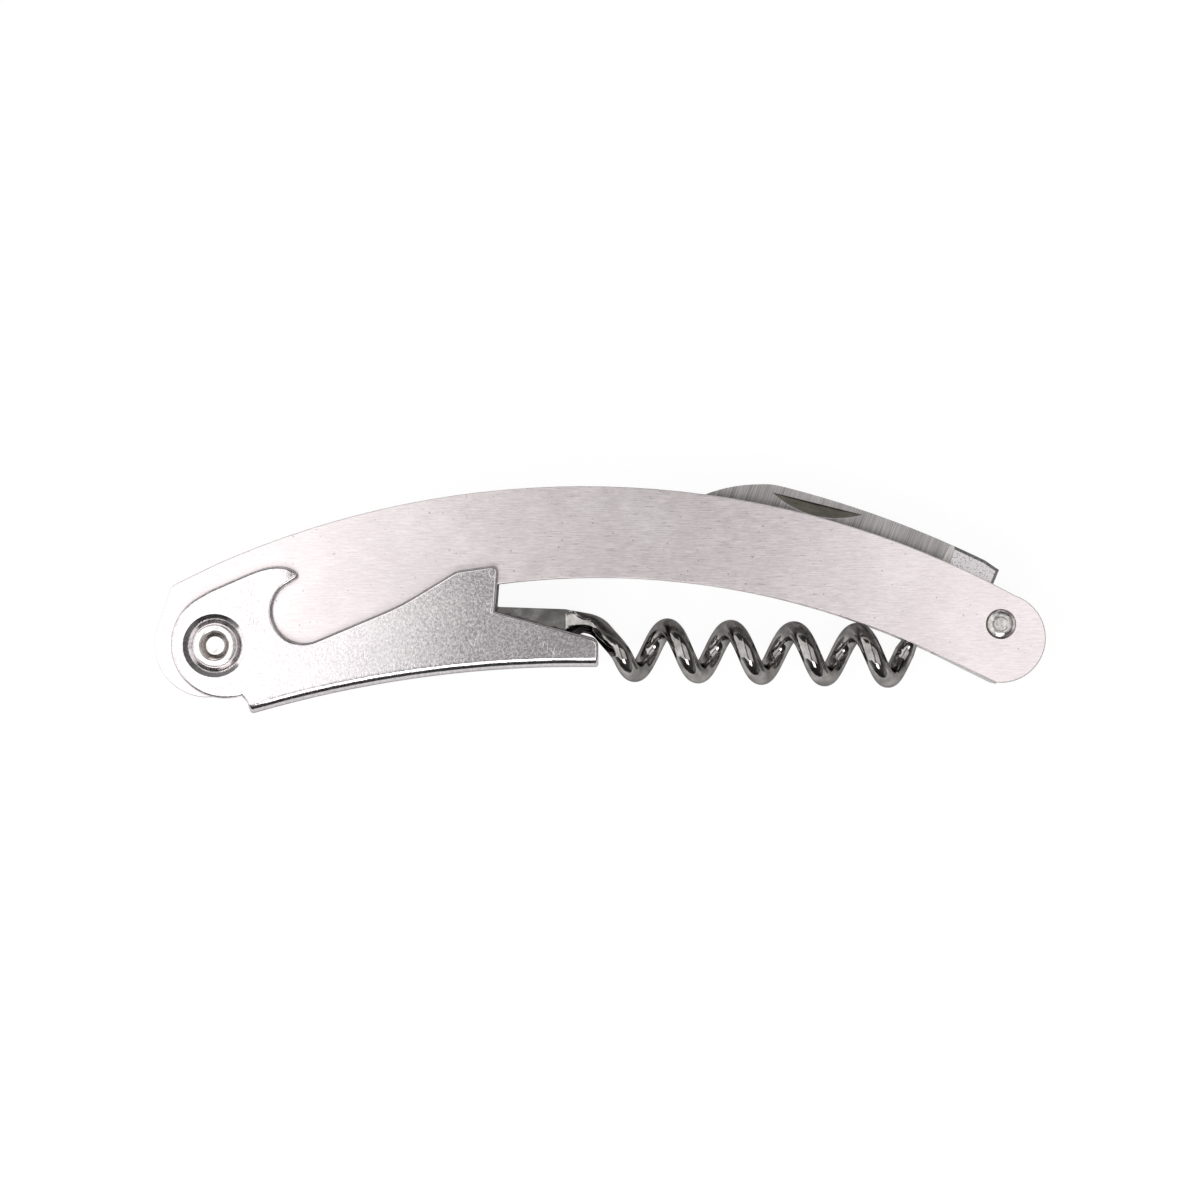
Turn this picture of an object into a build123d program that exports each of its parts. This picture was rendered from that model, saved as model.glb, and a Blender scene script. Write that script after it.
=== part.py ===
from build123d import *
import os
from math import acos, asin, atan2, cos, degrees, radians, sin, sqrt

os.makedirs("parts", exist_ok=True)

# A folded, all-steel waiter's corkscrew lying on its side.
# +X runs along its length to the knife end, +Y to the back of the handle and +Z up
# through its thickness. The origin is the middle of the footprint, on the surface.
# Every outline is drawn in the XY plane, and the three pivots are parallel to Z.

# ---- driving dimensions, millimetres and degrees ----

# sheet gauges and widths across the thickness
PLATE_GAUGE = 1.0          # each handle plate
PLATE_GAP = 8.8            # clear space between the handle plates
LEVER_GAUGE = 1.2          # folded sheet of the lever
LEVER_SIDE_CLEARANCE = 0.15  # handle plate to lever cheek, each side
BLADE_GAUGE = 2.0
PADDLE_GAUGE = 1.5         # flattened shank of the worm
SPRING_GAUGE = 0.9
BAR_GAUGE = 1.0

# pivots, in the XY plane
LEVER_PIVOT = (-49.30, -5.88)
WORM_PIVOT = (-21.60, -2.36)
BLADE_PIVOT = (51.12, -3.13)

# handle plate outline
BACK_RADIUS = 115.7              # long back arc, from the shoulder to the knife end
BELLY_RADIUS = 100.5             # hollow belly arc, from the lug to the straight
BELLY_STRAIGHT_START = (42.44, -6.77)  # from here the belly runs straight to the knife end
KNIFE_END_CENTRE = (51.13, -4.92)
KNIFE_END_RADIUS = 5.73
KNIFE_END_TOP_ANGLE = 71.4       # where the back arc meets the knife end
KNIFE_END_FOOT_ANGLE = -94.8     # where the belly's straight meets it
LEVER_END_CENTRE = (-50.32, -5.76)
LEVER_END_RADIUS = 6.76
NOSE_SLOPE = 71.0                # flank of the nose that stops the open lever
NOSE_LENGTH = 5.6
NOSE_ROUND = 1.2
SHOULDER = (-49.18, 4.52)        # the back arc ends here, and runs straight to the nose
WORM_EAR_RADIUS = 4.5            # lug of the handle plates round the worm pivot
EAR_TOP_ANGLE = 50.4             # where the belly arc leaves the lug
EAR_ROUND = 2.0
PLATE_EDGE_BREAK = 0.12

# lever outline, offsets from its pivot
CHEEK_END_CENTRE = (1.34, 0.17)
CHEEK_END_RADIUS = 6.92
CHEEK_STEP_ANGLE = -72.3         # the round end stops here at the foot
CHEEK_HOOK_ANGLE = 120.0         # and here at the back of the hook
FOLD_CENTRE = (46.38, -150.93)   # centre of the long fold along the lever's foot
FOLD_RADIUS = 148.2
FOLD_START = 4.60                # where the fold begins and ends, along X
FOLD_END = 48.95
FOLD_STEP = (4.20, -7.27)
HOOK_TIP = (10.80, 8.78)
HOOK_BACK = [(8.10, 10.10), (3.90, 9.00), (-0.08, 7.27)]
HOOK_TIP_SLOPE = -62.0
MOUTH_CENTRE = (11.33, 4.36)     # crown cap mouth
MOUTH_RADIUS = 4.05
NECK_BEND = (23.70, 5.19)
CLAW_KNEE = (30.85, 9.55)
CLAW_TOP = (36.22, 10.28)        # corner of the step that hooks over a bottle's rim
CLAW_FOOT = (35.77, 4.38)
TOE_TOP = (48.95, 0.74)
NECK_ROUND = 30.0
KNEE_ROUND = 3.0
CLAW_ROUND = 0.75
TOE_ROUND = 1.2
HOOK_ROUND = 0.45
CHEEK_EDGE_ROUND = 0.40
FOLD_OUTER_ROUND = 1.5

# knife outline, offsets from its pivot
KICK_CORNER = (0.18, 6.94)
KICK_FOOT = (-1.31, 3.35)
TANG_RADIUS = 3.60
TANG_LEFT_ANGLE = 165.0
SPINE_START = (-1.63, 8.17)
SPINE_MIDDLE = (-15.78, 14.09)
SPINE_END = (-27.92, 17.74)
BELLY_TOP = (-30.69, 17.98)
TIP_ROUNDING_POINT = (-37.79, 16.66)
TIP = (-42.53, 14.04)
EDGE_SWEEP_POINT = (-39.30, 11.55)
EDGE_START = (-34.60, 10.20)
EDGE_HEEL = (-10.90, 3.35)
CHOIL = (-9.90, 4.55)
PLUNGE_POINT = (-5.45, 10.20)    # where the grind begins on the spine
GRIND_HEADING = 163.9            # from there toward the tip, parallel to the cutting edge
GRIND_SPINE_DEPTH = 0.16
GRIND_EDGE_DEPTH = 0.88
GRIND_WIDTH = 8.2
PLUNGE_RAMP = 0.34               # rise over run of the ramp at the end of the grind
TANG_CHAMFER_WIDTH = 0.40        # across the tang's face
TANG_CHAMFER_DEPTH = 0.25
TANG_CHAMFER_REACH = 4.6         # the broken edges have their middles this near the kick's corner
NICK_ENDS = [(-29.33, 17.02), (-17.41, 14.04)]
NICK_DEPTH = 0.50
NICK_WIDTH = 1.65

# worm: flat shank, lead-in and coil
EYE_RADIUS = 3.50
SHANK_HEIGHT = 3.85
SHANK_DROP = 0.80                # shank centre below the worm pivot
SHANK_LENGTH = 17.0              # pivot to the end of the flat
SHANK_SHOULDER = (8.5, 1.42)     # bend in the shank's upper edge
SHANK_BLEND = 2.6                # flat to round wire
WIRE_RADIUS = 1.30
COIL_RADIUS = 2.87
COIL_START = 21.95               # pivot to the top of the first turn, along the axis
COIL_DROP = 4.04                 # coil axis below the worm pivot at that turn
COIL_SLOPE = -1.30
COIL_TURNS = 5.12
WORM_TIP_CLEARANCE = 0.97        # from the worm's point to the end bar
LEAD_DROP = 0.66                 # centre of the round wire below the pivot, where the flat ends
LEAD_SLOPE = -10.0
LEAD_IN_ANGLE = 112.0            # turn angle at which the lead-in joins the coil
LEAD_POINT = (22.30, -2.35, 1.45)  # on the lead-in, offset from the pivot
TAPER_TURNS = 0.34               # pointed end
POINT_RADIUS = 0.12

# rivets, pins and spacers
LEVER_RIVET_RADIUS = 2.25
LEVER_RIVET_HEAD = 2.75
LEVER_RIVET_HEAD_HEIGHT = 0.75
LEVER_RIVET_RIM_ROUND = 0.24
RIVET_CUP_RADIUS = 1.90
RIVET_LIP_ROUND = 0.22           # inner edge of the rolled rim
RIVET_CUP_FLOOR = 1.15
RIVET_CUP_DEPTH = 1.05
DISH_RADIUS = 4.05               # dish pressed in the lever cheek round the rivet
DISH_FLOOR_RADIUS = 2.85
DISH_DEPTH = 0.85
SLEEVE_WALL = 1.0
PIN_RADIUS = 1.50
PIN_HEAD_RADIUS = 1.92
PIN_HEAD_HEIGHT = 0.55
PIN_CROWN_RADIUS = 1.20          # the head tapers from its rim to this flat crown
PIN_CROWN_RISE = 0.38
PIN_DIMPLE_RADIUS = 0.85
PIN_DIMPLE_DEPTH = 0.12
PIN_SINK = 0.10                  # pin head below the face of the plate
WORM_SPACER_RADIUS = 4.20
BLADE_SPACER_RADIUS = 3.40

# spring and stop bar between the plates
SPRING_SIDE_CLEARANCE = 0.10
SPRING_EYE_SWEEP = 290.0         # how far the eye wraps round the sleeve
SPRING_TURN_POINT = (36.0, -1.60)
SPRING_CONTACT_ANGLE = -117.0    # where it bears on the tang, seen from the knife pivot
BAR_SETBACK = 0.6                # along the straight belly, from its start
BAR_PROUD = 0.20                 # how far the bar's far end stands out of the plates

# fits
RUNNING_FIT = 0.05               # radial, moving on a pin
STILL_FIT = 0.02                 # radial or end clearance between fixed pieces
BEARING_GAP = 0.03               # spring to what it presses on

# ---- levels through the thickness ----
WIDTH = PLATE_GAP + 2 * (PLATE_GAUGE + LEVER_SIDE_CLEARANCE + LEVER_GAUGE)
MIDDLE = WIDTH / 2
LEVER_INNER_LOW = LEVER_GAUGE
LEVER_INNER_HIGH = WIDTH - LEVER_GAUGE
PLATE_LOW = MIDDLE - PLATE_GAP / 2 - PLATE_GAUGE
PLATE_HIGH = MIDDLE + PLATE_GAP / 2 + PLATE_GAUGE
GAP_LOW = MIDDLE - PLATE_GAP / 2
GAP_HIGH = MIDDLE + PLATE_GAP / 2


# ---- plane geometry helpers ----

def shifted(origin, offset):
    return (origin[0] + offset[0], origin[1] + offset[1])


def polar(centre, radius, angle):
    return (centre[0] + radius * cos(radians(angle)), centre[1] + radius * sin(radians(angle)))


def direction(angle):
    return (cos(radians(angle)), sin(radians(angle)))


def point_above(centre, radius, x):
    """Point of a circle's upper half at a given x."""
    return (x, centre[1] + sqrt(radius**2 - (x - centre[0]) ** 2))


def bearing(start, end):
    return degrees(atan2(end[1] - start[1], end[0] - start[0]))


def distance(start, end):
    return sqrt((end[0] - start[0]) ** 2 + (end[1] - start[1]) ** 2)


def tangent_angle(centre, radius, other, other_radius, side):
    """Angle of the radii that touch a common outer tangent, side +1 left or -1 right."""
    lean = degrees(asin((radius - other_radius) / distance(centre, other)))
    return bearing(centre, other) + side * (90 - lean)


def touch_angle(centre, radius, point, side):
    """Angle of the radius that a line from an outside point touches, side +1 or -1."""
    return bearing(centre, point) + side * degrees(acos(radius / distance(centre, point)))


def arc_about(centre, radius, start_angle, end_angle):
    """Arc from one angle to another, either way round."""
    middle = polar(centre, radius, (start_angle + end_angle) / 2)
    return ThreePointArc(polar(centre, radius, start_angle), middle, polar(centre, radius, end_angle))


def arc_between(centre, radius, start, end):
    """The shorter arc about a centre between two of its points."""
    first = bearing(centre, start)
    sweep = (bearing(centre, end) - first + 180) % 360 - 180
    return ThreePointArc(start, polar(centre, radius, first + sweep / 2), end)


def arc_over(left, right, radius):
    """Shallow arc of a given radius from left to right, bowed upward."""
    span = distance(left, right)
    rise = radius - sqrt(radius**2 - (span / 2) ** 2)
    middle = ((left[0] + right[0]) / 2, (left[1] + right[1]) / 2)
    return ThreePointArc(left, polar(middle, rise, bearing(left, right) + 90), right)


def filled(edges):
    return make_face(Wire(edges))


def round_corner(face, point, radius):
    corner = face.vertices().sort_by_distance(Vector(point[0], point[1], 0))[0]
    return fillet([corner], radius)


def slab(face, low, high):
    """Extrude a flat outline between two heights."""
    return extrude(Pos(0, 0, low) * face, high - low, dir=(0, 0, 1))


def post(centre, radius, low, high):
    return Pos(centre[0], centre[1], low) * Cylinder(
        radius, high - low, align=(Align.CENTER, Align.CENTER, Align.MIN)
    )


def turned(centre, profile):
    """Revolve a closed outline of (radius, height) points about an upright axis."""
    points = [(radius, 0, height) for radius, height in profile]
    return Pos(centre[0], centre[1], 0) * revolve(make_face(Polyline(*points, close=True)), Axis.Z)


def outer_face_edges(solid, wanted):
    """Wanted edges of a solid's lowest and highest faces."""
    faces = solid.faces().sort_by(Axis.Z)
    return [edge for edge in faces[0].edges() + faces[-1].edges() if wanted(edge)]


# ---- handle ----

BELLY_STRAIGHT_END = polar(KNIFE_END_CENTRE, KNIFE_END_RADIUS, KNIFE_END_FOOT_ANGLE)
STRAIGHT_HEADING = bearing(BELLY_STRAIGHT_START, BELLY_STRAIGHT_END)
BAR_FOOT = polar(BELLY_STRAIGHT_START, BAR_SETBACK, STRAIGHT_HEADING)


def handle_outline():
    """One handle plate: a bowed blank with a lug that carries the worm's pin."""
    ear_side = tangent_angle(LEVER_END_CENTRE, LEVER_END_RADIUS, WORM_PIVOT, WORM_EAR_RADIUS, -1)
    heel = polar(LEVER_END_CENTRE, LEVER_END_RADIUS, ear_side)
    ear_foot = polar(WORM_PIVOT, WORM_EAR_RADIUS, ear_side)
    ear_top = polar(WORM_PIVOT, WORM_EAR_RADIUS, EAR_TOP_ANGLE)
    knife_top = polar(KNIFE_END_CENTRE, KNIFE_END_RADIUS, KNIFE_END_TOP_ANGLE)
    flank = polar(LEVER_END_CENTRE, LEVER_END_RADIUS, NOSE_SLOPE + 90)
    nose = polar(flank, NOSE_LENGTH, NOSE_SLOPE)
    outline = filled([
        arc_between(WORM_PIVOT, WORM_EAR_RADIUS, ear_foot, ear_top),
        arc_over(ear_top, BELLY_STRAIGHT_START, BELLY_RADIUS),
        Line(BELLY_STRAIGHT_START, BELLY_STRAIGHT_END),
        arc_between(KNIFE_END_CENTRE, KNIFE_END_RADIUS, BELLY_STRAIGHT_END, knife_top),
        arc_over(SHOULDER, knife_top, BACK_RADIUS),
        Line(SHOULDER, nose),
        Line(nose, flank),
        arc_between(LEVER_END_CENTRE, LEVER_END_RADIUS, flank, heel),
        Line(heel, ear_foot),
    ])
    outline = round_corner(outline, nose, NOSE_ROUND)
    return round_corner(outline, ear_top, EAR_ROUND)


def handle_plate(low, high, outer_face, inward):
    """A blanked plate with holes for its rivets and a sunk seat for each pin head."""
    plate = slab(handle_outline(), low, high)
    outer = plate.faces().sort_by(Axis.Z)[-1 if inward < 0 else 0]
    plate = fillet(outer.edges(), PLATE_EDGE_BREAK)
    plate -= post(LEVER_PIVOT, LEVER_RIVET_RADIUS + STILL_FIT, low, high)
    for pivot in (WORM_PIVOT, BLADE_PIVOT):
        plate -= post(pivot, PIN_RADIUS + STILL_FIT, low, high)
        seat_floor = outer_face + inward * (PIN_SINK + PIN_HEAD_HEIGHT)
        seat_low, seat_high = sorted([outer_face, seat_floor])
        plate -= post(pivot, PIN_HEAD_RADIUS + STILL_FIT, seat_low, seat_high)
    return plate


def end_bar():
    """Bar that closes the straight stretch of the belly and stops the open knife."""
    length = distance(BAR_FOOT, BELLY_STRAIGHT_END)
    heading = STRAIGHT_HEADING - degrees(asin(BAR_PROUD / length))
    far_foot = polar(BAR_FOOT, length, heading)
    outline = filled([
        Line(BAR_FOOT, far_foot),
        Line(far_foot, polar(far_foot, BAR_GAUGE, heading + 90)),
        Line(polar(far_foot, BAR_GAUGE, heading + 90), polar(BAR_FOOT, BAR_GAUGE, heading + 90)),
        Line(polar(BAR_FOOT, BAR_GAUGE, heading + 90), BAR_FOOT),
    ])
    return slab(outline, GAP_LOW, GAP_HIGH)


SLEEVE_RADIUS = LEVER_RIVET_RADIUS + STILL_FIT + SLEEVE_WALL


def lever_rivet_sleeve():
    sleeve = post(LEVER_PIVOT, SLEEVE_RADIUS, GAP_LOW, GAP_HIGH)
    return sleeve - post(LEVER_PIVOT, LEVER_RIVET_RADIUS + STILL_FIT, GAP_LOW, GAP_HIGH)


def spring_centreline():
    """Eye, straight run over the worm's spacers, then one long bow down to the tang."""
    eye_radius = SLEEVE_RADIUS + BEARING_GAP + SPRING_GAUGE / 2
    hump_radius = WORM_SPACER_RADIUS + BEARING_GAP + SPRING_GAUGE / 2
    tang_radius = TANG_RADIUS + BEARING_GAP + SPRING_GAUGE / 2
    touch = tangent_angle(LEVER_PIVOT, eye_radius, WORM_PIVOT, hump_radius, 1)
    leave = polar(LEVER_PIVOT, eye_radius, touch)
    hump = polar(WORM_PIVOT, hump_radius, touch)
    contact = polar(BLADE_PIVOT, tang_radius, SPRING_CONTACT_ANGLE)
    bow = TangentArc(hump, SPRING_TURN_POINT, tangent=direction(touch - 90))
    return [
        arc_about(LEVER_PIVOT, eye_radius, touch + SPRING_EYE_SWEEP, touch),
        Line(leave, hump),
        bow,
        TangentArc(SPRING_TURN_POINT, contact, tangent=bow % 1),
    ]


def back_spring():
    """Strip spring across the whole gap between the plates."""
    strip = trace(Wire(spring_centreline()), SPRING_GAUGE)
    return slab(strip, GAP_LOW + SPRING_SIDE_CLEARANCE, GAP_HIGH - SPRING_SIDE_CLEARANCE)


def lever_rivet():
    """Semi-tubular rivet, rolled over a cup at both ends."""
    top = WIDTH - DISH_DEPTH + STILL_FIT + LEVER_RIVET_HEAD_HEIGHT
    foot = WIDTH - top
    under_top = top - LEVER_RIVET_HEAD_HEIGHT
    rivet = turned(LEVER_PIVOT, [
        (0, foot + RIVET_CUP_DEPTH),
        (RIVET_CUP_FLOOR, foot + RIVET_CUP_DEPTH),
        (RIVET_CUP_RADIUS, foot),
        (LEVER_RIVET_HEAD, foot),
        (LEVER_RIVET_HEAD, foot + LEVER_RIVET_HEAD_HEIGHT),
        (LEVER_RIVET_RADIUS, foot + LEVER_RIVET_HEAD_HEIGHT),
        (LEVER_RIVET_RADIUS, under_top),
        (LEVER_RIVET_HEAD, under_top),
        (LEVER_RIVET_HEAD, top),
        (RIVET_CUP_RADIUS, top),
        (RIVET_CUP_FLOOR, top - RIVET_CUP_DEPTH),
        (0, top - RIVET_CUP_DEPTH),
    ])
    rims = outer_face_edges(rivet, lambda edge: edge.radius > RIVET_CUP_RADIUS + STILL_FIT)
    rivet = fillet(rims, LEVER_RIVET_RIM_ROUND)
    lips = outer_face_edges(rivet, lambda edge: edge.radius < RIVET_CUP_RADIUS + STILL_FIT)
    return fillet(lips, RIVET_LIP_ROUND)


def pivot_pin(centre):
    """Pin with a domed and dimpled head sunk in each handle plate."""
    top = PLATE_HIGH - PIN_SINK
    foot = PLATE_LOW + PIN_SINK
    return turned(centre, [
        (0, foot + PIN_DIMPLE_DEPTH),
        (PIN_DIMPLE_RADIUS, foot + PIN_DIMPLE_DEPTH),
        (PIN_DIMPLE_RADIUS + PIN_DIMPLE_DEPTH, foot),
        (PIN_CROWN_RADIUS, foot),
        (PIN_HEAD_RADIUS, foot + PIN_CROWN_RISE),
        (PIN_HEAD_RADIUS, foot + PIN_HEAD_HEIGHT),
        (PIN_RADIUS, foot + PIN_HEAD_HEIGHT),
        (PIN_RADIUS, top - PIN_HEAD_HEIGHT),
        (PIN_HEAD_RADIUS, top - PIN_HEAD_HEIGHT),
        (PIN_HEAD_RADIUS, top - PIN_CROWN_RISE),
        (PIN_CROWN_RADIUS, top),
        (PIN_DIMPLE_RADIUS + PIN_DIMPLE_DEPTH, top),
        (PIN_DIMPLE_RADIUS, top - PIN_DIMPLE_DEPTH),
        (0, top - PIN_DIMPLE_DEPTH),
    ])


def spacer(centre, radius, low, high):
    return post(centre, radius, low, high) - post(centre, PIN_RADIUS + STILL_FIT, low, high)


# ---- lever ----

def from_lever(offset):
    return shifted(LEVER_PIVOT, offset)


def cheek_outline():
    """Side of the lever: rivet end, hooked cap mouth, neck, claw step and toe."""
    end_centre = from_lever(CHEEK_END_CENTRE)
    mouth_centre = from_lever(MOUTH_CENTRE)
    fold_centre = from_lever(FOLD_CENTRE)
    step = polar(end_centre, CHEEK_END_RADIUS, CHEEK_STEP_ANGLE)
    fold_step, hook_tip = from_lever(FOLD_STEP), from_lever(HOOK_TIP)
    fold_start, fold_end = [
        point_above(fold_centre, FOLD_RADIUS, LEVER_PIVOT[0] + run) for run in (FOLD_START, FOLD_END)
    ]
    hook_heel = polar(end_centre, CHEEK_END_RADIUS, CHEEK_HOOK_ANGLE)
    hook_back = [hook_tip, *[from_lever(offset) for offset in HOOK_BACK], hook_heel]
    hook_slopes = [direction(HOOK_TIP_SLOPE + 180), direction(CHEEK_HOOK_ANGLE + 90)]
    bend, knee, claw, claw_foot, toe = [
        from_lever(offset) for offset in (NECK_BEND, CLAW_KNEE, CLAW_TOP, CLAW_FOOT, TOE_TOP)
    ]
    mouth_top_angle = touch_angle(mouth_centre, MOUTH_RADIUS, hook_tip, 1)
    mouth_exit_angle = touch_angle(mouth_centre, MOUTH_RADIUS, bend, -1)
    outline = filled([
        Line(step, fold_step),
        Line(fold_step, fold_start),
        arc_between(fold_centre, FOLD_RADIUS, fold_start, fold_end),
        Line(fold_end, toe),
        Line(toe, claw_foot),
        Line(claw_foot, claw),
        Line(claw, knee),
        Line(knee, bend),
        Line(bend, polar(mouth_centre, MOUTH_RADIUS, mouth_exit_angle)),
        arc_about(mouth_centre, MOUTH_RADIUS, mouth_exit_angle, mouth_top_angle - 360),
        Line(polar(mouth_centre, MOUTH_RADIUS, mouth_top_angle), hook_tip),
        Spline(hook_back, tangents=hook_slopes),
        arc_between(end_centre, CHEEK_END_RADIUS, hook_heel, step),
    ])
    rounds = (
        (toe, TOE_ROUND),
        (claw, CLAW_ROUND),
        (knee, KNEE_ROUND),
        (bend, NECK_ROUND),
        (hook_tip, HOOK_ROUND),
    )
    for point, radius in rounds:
        outline = round_corner(outline, point, radius)
    return outline


def fold_band():
    """Plan of the web along the lever's foot, one gauge thick."""
    fold_centre = from_lever(FOLD_CENTRE)
    step = from_lever(FOLD_STEP)
    outer_start = point_above(fold_centre, FOLD_RADIUS, LEVER_PIVOT[0] + FOLD_START)
    outer_end = point_above(fold_centre, FOLD_RADIUS, LEVER_PIVOT[0] + FOLD_END)
    inner_radius = FOLD_RADIUS + LEVER_GAUGE
    inner_start = point_above(fold_centre, inner_radius, step[0])
    inner_end = point_above(fold_centre, inner_radius, outer_end[0])
    return filled([
        arc_between(fold_centre, FOLD_RADIUS, outer_start, outer_end),
        Line(outer_end, inner_end),
        arc_between(fold_centre, inner_radius, inner_end, inner_start),
        Line(inner_start, outer_start),
    ])


def rivet_dish():
    """Dish that takes the rivet head, cut down from the upper cheek's face."""
    floor = WIDTH - DISH_DEPTH
    return turned(LEVER_PIVOT, [
        (0, floor),
        (DISH_FLOOR_RADIUS, floor),
        (DISH_RADIUS, WIDTH),
        (0, WIDTH),
    ])


def is_fold_edge(edge):
    return edge.geom_type == GeomType.CIRCLE and edge.radius > FOLD_RADIUS - LEVER_GAUGE


def lever():
    """Folded channel: two cheeks joined by the web along the foot."""
    channel = slab(cheek_outline(), 0, WIDTH)
    channel = fillet(outer_face_edges(channel, is_fold_edge), FOLD_OUTER_ROUND)
    channel = fillet(outer_face_edges(channel, lambda edge: not is_fold_edge(edge)), CHEEK_EDGE_ROUND)
    surround = Pos(from_lever((FOLD_END / 2, 0))) * Rectangle(2 * FOLD_END, 2 * FOLD_END)
    channel -= slab(surround - fold_band(), LEVER_INNER_LOW, LEVER_INNER_HIGH)
    channel -= post(LEVER_PIVOT, LEVER_RIVET_RADIUS + RUNNING_FIT, 0, WIDTH)
    dish = rivet_dish()
    channel -= dish
    channel -= mirror(dish, Plane.XY.offset(MIDDLE))
    return channel


# ---- knife ----

def from_knife(offset):
    return shifted(BLADE_PIVOT, offset)


def knife_outline():
    """Side of the knife: tang, kick, long spine, dropped tip and straight edge."""
    tang_left = polar(BLADE_PIVOT, TANG_RADIUS, TANG_LEFT_ANGLE)
    foot_angle = bearing(BLADE_PIVOT, from_knife(KICK_FOOT))
    foot = polar(BLADE_PIVOT, TANG_RADIUS, foot_angle)
    kick, spine_start, spine_middle, spine_end = [
        from_knife(offset) for offset in (KICK_CORNER, SPINE_START, SPINE_MIDDLE, SPINE_END)
    ]
    top, rounding, tip, sweep, edge_start, heel, choil = [
        from_knife(offset)
        for offset in (BELLY_TOP, TIP_ROUNDING_POINT, TIP, EDGE_SWEEP_POINT, EDGE_START, EDGE_HEEL, CHOIL)
    ]
    spine = ThreePointArc(spine_start, spine_middle, spine_end)
    return filled([
        arc_about(BLADE_PIVOT, TANG_RADIUS, foot_angle, TANG_LEFT_ANGLE - 360),
        Line(foot, kick),
        Line(kick, spine_start),
        spine,
        TangentArc(spine_end, top, tangent=spine % 1),
        ThreePointArc(top, rounding, tip),
        ThreePointArc(tip, sweep, edge_start),
        Line(edge_start, heel),
        Line(heel, choil),
        Line(choil, tang_left),
    ])


GRIND_LEAN = (GRIND_EDGE_DEPTH - GRIND_SPINE_DEPTH) / GRIND_WIDTH


def grind_tool():
    """What the flat grind takes off the upper face, up to the ramp at the plunge line."""
    reach = distance(TIP, PLUNGE_POINT) + GRIND_WIDTH
    stock = Box(2 * reach, 2 * reach, reach, align=(Align.CENTER, Align.CENTER, Align.MIN))
    ground = Pos(0, 0, -GRIND_SPINE_DEPTH) * Rot(-degrees(atan2(GRIND_LEAN, 1)), 0, 0) * stock
    ramp = Rot(0, degrees(atan2(PLUNGE_RAMP, 1)), 0) * stock
    plunge = from_knife(PLUNGE_POINT)
    face = MIDDLE + BLADE_GAUGE / 2
    return Location((plunge[0], plunge[1], face), (0, 0, GRIND_HEADING)) * (ground & ramp)


def nick_tool():
    """Wheel that cuts the nail nick: steep along the spine side, shallow below."""
    left, right = [from_knife(offset) for offset in NICK_ENDS]
    half = distance(left, right) / 2
    wheel_radius = (half**2 + NICK_DEPTH**2) / (2 * NICK_DEPTH)
    flare = NICK_DEPTH / NICK_WIDTH - GRIND_LEAN
    height = 2 * NICK_WIDTH
    far_radius = wheel_radius - height * flare
    wheel = Cone(wheel_radius, far_radius, height, align=(Align.CENTER, Align.CENTER, Align.MIN))
    ground_face = MIDDLE + BLADE_GAUGE / 2 - GRIND_SPINE_DEPTH
    axle = ground_face + wheel_radius - NICK_DEPTH
    centre = ((left[0] + right[0]) / 2, (left[1] + right[1]) / 2, axle)
    down = bearing(left, right) - 90
    return Plane(origin=centre, x_dir=(0, 0, 1), z_dir=(*direction(down), 0)) * wheel


def is_tang_edge(edge):
    """Straight top, flank and short spine of the tang, clear of its round end."""
    centre = (edge.center().X, edge.center().Y)
    above = centre[1] - BLADE_PIVOT[1] > KICK_FOOT[1]
    return above and distance(centre, from_knife(KICK_CORNER)) < TANG_CHAMFER_REACH


def knife():
    blade = slab(knife_outline(), MIDDLE - BLADE_GAUGE / 2, MIDDLE + BLADE_GAUGE / 2)
    tool = grind_tool()
    blade -= tool
    blade -= mirror(tool, Plane.XY.offset(MIDDLE))
    for rank in (0, -1):
        face = blade.faces().sort_by(Axis.Z)[rank]
        broken = [edge for edge in face.edges() if is_tang_edge(edge)]
        blade = chamfer(broken, TANG_CHAMFER_WIDTH, TANG_CHAMFER_DEPTH, reference=face)
    blade -= nick_tool()
    return blade - post(BLADE_PIVOT, PIN_RADIUS + RUNNING_FIT, 0, WIDTH)


# ---- worm ----

COIL_AXIS = (cos(radians(COIL_SLOPE)), sin(radians(COIL_SLOPE)), 0)
COIL_UP = (-sin(radians(COIL_SLOPE)), cos(radians(COIL_SLOPE)), 0)
COIL_PITCH = (distance(WORM_PIVOT, BAR_FOOT) - WORM_TIP_CLEARANCE - COIL_START) / COIL_TURNS


def on_worm(offset, level=0.0):
    return (WORM_PIVOT[0] + offset[0], WORM_PIVOT[1] + offset[1], MIDDLE + level)


def coil_plane(turn_angle):
    """Plane across the coil's axis whose x axis points at the wire at that turn angle."""
    start = on_worm((COIL_START, -COIL_DROP))
    advance = COIL_PITCH * turn_angle / 360
    origin = tuple(base + advance * part for base, part in zip(start, COIL_AXIS))
    up, forward = direction(turn_angle)
    return Plane(origin=origin, x_dir=(up * COIL_UP[0], up * COIL_UP[1], forward), z_dir=COIL_AXIS)


def coil_edge(first_angle, last_angle):
    helix = Helix(COIL_PITCH, COIL_PITCH * (last_angle - first_angle) / 360, COIL_RADIUS)
    return coil_plane(first_angle) * helix


def section(edge, share, radius):
    """Round section of the wire across an edge at a share of its length."""
    return Plane(origin=edge @ share, z_dir=edge % share) * Circle(radius)


def wire_start():
    """Plane across the wire where the flat shank has become round."""
    heading = direction(LEAD_SLOPE)
    return Plane(origin=on_worm((SHANK_LENGTH + SHANK_BLEND, -LEAD_DROP)), z_dir=(*heading, 0))


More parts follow.
